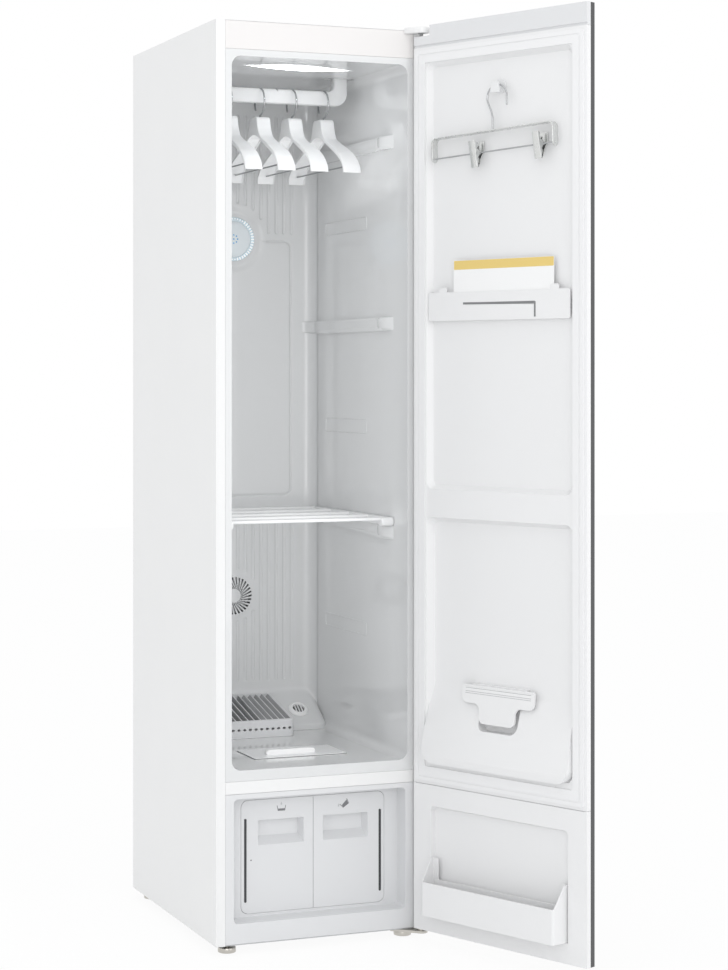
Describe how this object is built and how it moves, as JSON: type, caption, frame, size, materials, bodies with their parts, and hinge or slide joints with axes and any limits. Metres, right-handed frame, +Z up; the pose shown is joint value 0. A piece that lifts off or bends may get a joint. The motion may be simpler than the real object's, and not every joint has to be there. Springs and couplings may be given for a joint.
{
  "type": "clothes care steam cabinet",
  "caption": "Tall white steam cabinet for clothes, its mirrored door standing open on a lit compartment with hanger bar, tube shelf, fan, steam outlet and two water tanks below.",
  "frame": {"origin": "centre of the front left foot's sole", "axes": "+X to the right seen from the front, +Y towards the back, +Z up"},
  "size_m": [0.6173, 0.9765, 1.85],
  "materials": {
    "case_white": "smooth white enamel",
    "liner_grey": "glossy light grey",
    "plastic_white": "satin white",
    "plastic_grey": "satin light grey",
    "mirror_glass": "dark mirror",
    "nickel": "brushed nickel",
    "chrome": "bright chrome",
    "gasket": "matt",
    "lamp_lens": "frosted, lit from behind",
    "dark_metal": "semi-gloss black",
    "zinc_steel": "galvanised",
    "circuit_board": "matt green"
  },
  "bodies": {
    "cabinet": {"outer_case": "case_white", "top_front_panel": "case_white", "mid_front_rail": "case_white", "rear_cover": "zinc_steel", "base_pan": "zinc_steel", "cavity_liner": "liner_grey", "back_panel": "liner_grey", "ring_light_lens": "lamp_lens", "ring_light_cover": "plastic_white", "fan_grille": "liner_grey", "fan_motor": "dark_metal", "air_grille": "plastic_grey", "steam_outlet": "plastic_white", "ceiling_light_lens": "lamp_lens", "hanger_drive_motor": "dark_metal", "tank_bay": "plastic_grey", "foot_rear_left": "nickel", "foot_rear_right": "nickel", "compressor": "dark_metal", "heat_exchanger": "zinc_steel", "steam_generator": "plastic_grey", "control_board": "circuit_board", "upper_hinge": "nickel", "lower_hinge": "nickel"},
    "door": {"door_skin": "mirror_glass", "door_top_cap": "plastic_grey", "door_liner": "plastic_white", "door_lower_panel": "plastic_white", "door_gasket": "gasket", "accessory_pocket": "plastic_white", "door_hook": "plastic_white"},
    "door_bin": {"door_bin": "plastic_white"},
    "trouser_clamp": {"trouser_clamp": "plastic_white"},
    "clip_hanger": {"clip_hanger_bar": "nickel", "clip_hanger_hook": "chrome", "clip_hanger_rod": "zinc_steel"},
    "clip_left": {"clip_back_left": "nickel"},
    "clip_left_jaw": {"clip_front_left": "nickel"},
    "clip_right": {"clip_back_right": "nickel"},
    "clip_right_jaw": {"clip_front_right": "nickel"},
    "hanger_bar": {"hanger_bar": "plastic_white", "hanger_carriage": "plastic_grey"},
    "hanger_crank": {"hanger_crank": "zinc_steel"},
    "clothes_hanger_1": {"clothes_hanger_1": "plastic_white", "hanger_hook_1": "chrome"},
    "clothes_hanger_2": {"clothes_hanger_2": "plastic_white", "hanger_hook_2": "chrome"},
    "clothes_hanger_3": {"clothes_hanger_3": "plastic_white", "hanger_hook_3": "chrome"},
    "clothes_hanger_4": {"clothes_hanger_4": "plastic_white", "hanger_hook_4": "chrome"},
    "shelf_rack": {"shelf_rack": "plastic_white"},
    "drain_tank": {"drain_tank": "plastic_grey", "drain_tank_lid": "plastic_grey"},
    "supply_tank": {"supply_tank": "plastic_grey", "supply_tank_lid": "plastic_grey"},
    "lint_filter": {"lint_filter": "plastic_white"},
    "fan_rotor": {"fan_rotor": "plastic_grey"},
    "foot_front_left": {"foot_front_left": "nickel"},
    "foot_front_right": {"foot_front_right": "nickel"}
  },
  "joints": [
    {"name": "door_hinge", "type": "hinge", "parent": "cabinet", "child": "door", "pos_m": [0.4025, -0.044, 0.93], "axis": [0, 0, 1], "range_deg": [-113.25, 6.75]},
    {"name": "hanger_bar_slide", "type": "slide", "parent": "cabinet", "child": "hanger_bar", "axis": [1, 0, 0], "range_m": [-0.015, 0.015]},
    {"name": "hanger_crank_spin", "type": "hinge", "parent": "cabinet", "child": "hanger_crank", "pos_m": [0.19, 0.23, 1.8077], "axis": [0, 0, 1], "continuous": true},
    {"name": "shelf_slide", "type": "slide", "parent": "cabinet", "child": "shelf_rack", "axis": [0, -1, 0], "range_m": [0, 0.3]},
    {"name": "drain_tank_slide", "type": "slide", "parent": "cabinet", "child": "drain_tank", "axis": [0, -1, 0], "range_m": [0, 0.24]},
    {"name": "supply_tank_slide", "type": "slide", "parent": "cabinet", "child": "supply_tank", "axis": [0, -1, 0], "range_m": [0, 0.24]},
    {"name": "lint_filter_lift", "type": "slide", "parent": "cabinet", "child": "lint_filter", "axis": [0, 0, 1], "range_m": [0, 0.08]},
    {"name": "fan_spin", "type": "hinge", "parent": "cabinet", "child": "fan_rotor", "pos_m": [0.19, 0.51, 0.654], "axis": [0, 1, 0], "continuous": true},
    {"name": "foot_turn_left", "type": "hinge", "parent": "cabinet", "child": "foot_front_left", "pos_m": [0, 0, 0], "axis": [0, 0, 1], "continuous": true},
    {"name": "foot_turn_right", "type": "hinge", "parent": "cabinet", "child": "foot_front_right", "pos_m": [0.38, 0, 0], "axis": [0, 0, 1], "continuous": true},
    {"name": "door_bin_lift", "type": "slide", "parent": "door", "child": "door_bin", "axis": [0, 0, 1], "range_m": [0, 0.05]},
    {"name": "trouser_clamp_flip", "type": "hinge", "parent": "door", "child": "trouser_clamp", "pos_m": [0.47922, -0.24232, 0.528], "axis": [-0.3947, 0.9188, 0], "range_deg": [0, 45]},
    {"name": "clip_hanger_swing", "type": "hinge", "parent": "door", "child": "clip_hanger", "pos_m": [0.47398, -0.24457, 1.711], "axis": [-0.9188, -0.3947, 0], "range_deg": [-4, 4]},
    {"name": "clip_left_slide", "type": "slide", "parent": "clip_hanger", "child": "clip_left", "axis": [-0.3944, 0.9181, -0.0401], "range_m": [-0.015, 0.015]},
    {"name": "clip_right_slide", "type": "slide", "parent": "clip_hanger", "child": "clip_right", "axis": [-0.3944, 0.9181, -0.0401], "range_m": [-0.015, 0.015]},
    {"name": "clip_left_pinch", "type": "hinge", "parent": "clip_left", "child": "clip_left_jaw", "pos_m": [0.45374, -0.19746, 1.58189], "axis": [-0.3944, 0.9181, -0.0401], "range_deg": [0, 12], "stiffness_Nm_per_rad": 0.08},
    {"name": "clip_right_pinch", "type": "hinge", "parent": "clip_right", "child": "clip_right_jaw", "pos_m": [0.51744, -0.34572, 1.58837], "axis": [-0.3944, 0.9181, -0.0401], "range_deg": [0, 12], "stiffness_Nm_per_rad": 0.08},
    {"name": "hanger_swing_1", "type": "hinge", "parent": "hanger_bar", "child": "clothes_hanger_1", "pos_m": [0.082, 0.23, 1.71775], "axis": [1, 0, 0], "range_deg": [-12, 12]},
    {"name": "hanger_swing_2", "type": "hinge", "parent": "hanger_bar", "child": "clothes_hanger_2", "pos_m": [0.154, 0.23, 1.71775], "axis": [1, 0, 0], "range_deg": [-12, 12]},
    {"name": "hanger_swing_3", "type": "hinge", "parent": "hanger_bar", "child": "clothes_hanger_3", "pos_m": [0.226, 0.23, 1.71775], "axis": [1, 0, 0], "range_deg": [-12, 12]},
    {"name": "hanger_swing_4", "type": "hinge", "parent": "hanger_bar", "child": "clothes_hanger_4", "pos_m": [0.298, 0.23, 1.71775], "axis": [1, 0, 0], "range_deg": [-12, 12]}
  ]
}
